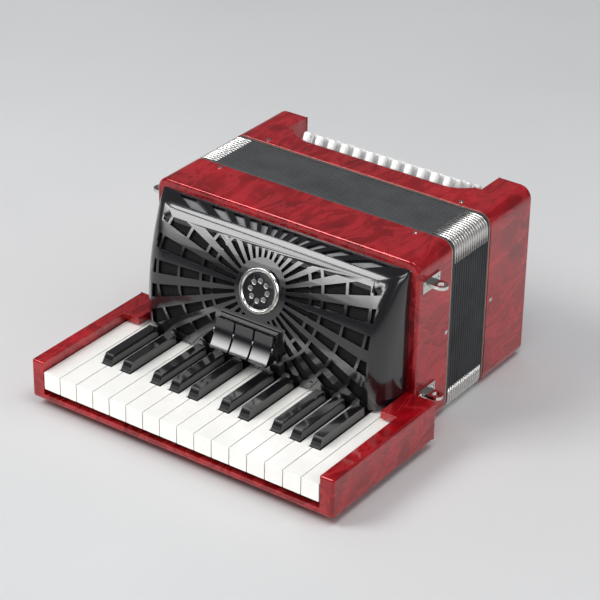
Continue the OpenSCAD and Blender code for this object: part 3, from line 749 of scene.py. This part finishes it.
def stitches(name, v_place):
    """Sewn thread along one edge of the strap, each stitch a small rounded bar."""
    verts, faces = [], []
    for i in range(STITCHES):
        u = STITCH_REACH_U * (2 * (i + 0.5) / STITCHES - 1)
        x, y, a = strap_mid(u)
        z = STRAP_Z + v_place * strap_half(u)
        tx, ty = math.cos(a), -math.sin(a)
        nx, ny = math.sin(a), math.cos(a)
        base = len(verts)
        for s, k, end in STITCH_RINGS:
            for q in range(STITCH_SIDES):
                b = math.tau * q / STITCH_SIDES
                dz = STITCH_HALF_WIDTH * k * math.cos(b)
                dn = STITCH_HALF_HEIGHT * k * math.sin(b) - STITCH_SUNK - (STITCH_END_SUNK if end else 0.0)
                along = s * STITCH_HALF_LENGTH
                verts.append((x + tx * along + nx * dn, y + ty * along + ny * dn, z + dz))
        for ring in range(len(STITCH_RINGS) - 1):
            for q in range(STITCH_SIDES):
                a0 = base + ring * STITCH_SIDES + q
                b0 = base + ring * STITCH_SIDES + (q + 1) % STITCH_SIDES
                faces.append((a0, b0, b0 + STITCH_SIDES, a0 + STITCH_SIDES))
        for first in (base, base + (len(STITCH_RINGS) - 1) * STITCH_SIDES):
            faces.append(tuple(first + q for q in range(STITCH_SIDES)))
    new_object(name, verts, faces, [THREAD], BASS)


stitches("strap_stitches_upper", 0.86)
stitches("strap_stitches_lower", -0.86)


# ---------------------------------------------------------------- floor, light, camera

def flat_sheet(name, half, material):
    """A flat square in the scene that isn't part of the object."""
    bm = bmesh.new()
    bmesh.ops.create_grid(bm, x_segments=1, y_segments=1, size=half)
    me = bpy.data.meshes.new(name)
    bm.to_mesh(me)
    bm.free()
    me.materials.append(material)
    o = bpy.data.objects.new(name, me)
    bpy.context.scene.collection.objects.link(o)
    return o


def floor():
    m = Mat("floor_paper")
    pale = m.ramp(m.noise(3, 3), [(0.3, (0.80, 0.80, 0.79)), (0.7, (0.84, 0.84, 0.83))])
    m.link(pale, m.bsdf.inputs["Base Color"])
    m.set(Roughness=0.75)
    flat_sheet("floor", 4.0, m.mat)


floor()
CENTRE = Vector((0, 0, 0.09))


def area(name, offset, size_x, size_y, radiance):
    """A rectangular lamp, offset from the object's middle and turned to it."""
    lamp = bpy.data.lights.new(name, "AREA")
    lamp.shape = "RECTANGLE"
    lamp.size, lamp.size_y = size_x, size_y
    lamp.energy = radiance * math.pi * size_x * size_y
    o = bpy.data.objects.new(name, lamp)
    o.location = CENTRE + Vector(offset)
    o.rotation_euler = (CENTRE - o.location).to_track_quat("-Z", "Y").to_euler()
    bpy.context.scene.collection.objects.link(o)


def panel_pieces():
    """Every piece with a black, white or metal finish. The red ones would show a white glare from behind."""
    bright = (GRILLE, BLACK, KEY_BLACK, KEY_WHITE, BUTTON, CORNER, NICKEL, TRIM, BOARD)
    return [o for o in bpy.context.scene.objects if o.type == "MESH"
            and any(slot.material in bright for slot in o.material_slots)]


def soft_box(name, offset, target, size_x, size_y, low, high):
    """A glowing panel, dim at its lower edge and bright at its upper one, that lights only panel_pieces()."""
    mat = bpy.data.materials.new(name)
    mat.use_nodes = True
    t = mat.node_tree
    t.nodes.clear()
    out = t.nodes.new("ShaderNodeOutputMaterial")
    glow = t.nodes.new("ShaderNodeEmission")
    coord = t.nodes.new("ShaderNodeTexCoord")
    split = t.nodes.new("ShaderNodeSeparateXYZ")
    spread = t.nodes.new("ShaderNodeMapRange")
    spread.interpolation_type = "SMOOTHSTEP"
    spread.inputs["From Min"].default_value = -0.35
    spread.inputs["From Max"].default_value = 0.45
    spread.inputs["To Min"].default_value = low
    spread.inputs["To Max"].default_value = high
    t.links.new(coord.outputs["Object"], split.inputs[0])
    t.links.new(split.outputs["Y"], spread.inputs["Value"])
    t.links.new(spread.outputs["Result"], glow.inputs["Strength"])
    t.links.new(glow.outputs[0], out.inputs["Surface"])
    o = flat_sheet(name, 0.5, mat)
    o.scale = (size_x, size_y, 1)
    o.location = CENTRE + Vector(offset)
    o.rotation_euler = (target - o.location).to_track_quat("Z", "Y").to_euler()
    o.visible_camera = False
    o.visible_shadow = False
    receivers = bpy.data.collections.new(name + "_receivers")
    for piece in panel_pieces():
        receivers.objects.link(piece)
    o.light_linking.receiver_collection = receivers


# low front-left panel, seen in the grille's upper face
soft_box("key_panel", (-0.95, -1.50, 0.50), CENTRE + Vector((0, 0, 0.04)), 2.2, 0.95, 0.0, 8.5)
# right-hand panel, seen in the rolled right end of the grille
soft_box("roll_panel", (1.30, -0.86, 0.62), CENTRE, 0.80, 1.20, 0.2, 4.8)
area("key_box", (-1.0, -1.1, 1.6), 0.9, 0.9, 8.2)
area("top_box", (0.5, -0.2, 1.7), 0.9, 0.7, 4.0)
area("rim_box", (1.6, 0.5, 0.8), 0.5, 0.7, 2.0)

world = bpy.data.worlds.new("studio")
world.use_nodes = True
sky = world.node_tree.nodes["Background"]
sky.inputs["Color"].default_value = (0.92, 0.94, 1.0, 1.0)
# reflections see a dimmer surround than the floor and the faces do, as in a studio with dark walls
rays = world.node_tree.nodes.new("ShaderNodeLightPath")
surround = world.node_tree.nodes.new("ShaderNodeMapRange")
surround.inputs["To Min"].default_value = 0.42
surround.inputs["To Max"].default_value = 0.15
world.node_tree.links.new(rays.outputs["Is Glossy Ray"], surround.inputs["Value"])
world.node_tree.links.new(surround.outputs["Result"], sky.inputs["Strength"])
bpy.context.scene.world = world
bpy.context.scene.view_settings.view_transform = "Standard"

cam_data = bpy.data.cameras.new("camera")
cam_data.sensor_width = 36.0
cam_data.lens = 140.0
cam_data.clip_end = 50.0
cam = bpy.data.objects.new("camera", cam_data)
CAM_PLACE = Vector((1.0475, -1.4812, 1.0918))
CAM_TARGET = Vector((0.0, 0.0, 0.080))
CAM_ROLL = math.radians(0.9)
back = (CAM_PLACE - CAM_TARGET).normalized()
right = Vector((0, 0, 1)).cross(back).normalized()
up = back.cross(right)
turn = Matrix((right, up, back)).transposed()
cam.matrix_world = Matrix.Translation(CAM_PLACE) @ (turn @ Matrix.Rotation(CAM_ROLL, 3, "Z")).to_4x4()
bpy.context.scene.collection.objects.link(cam)
bpy.context.scene.camera = cam
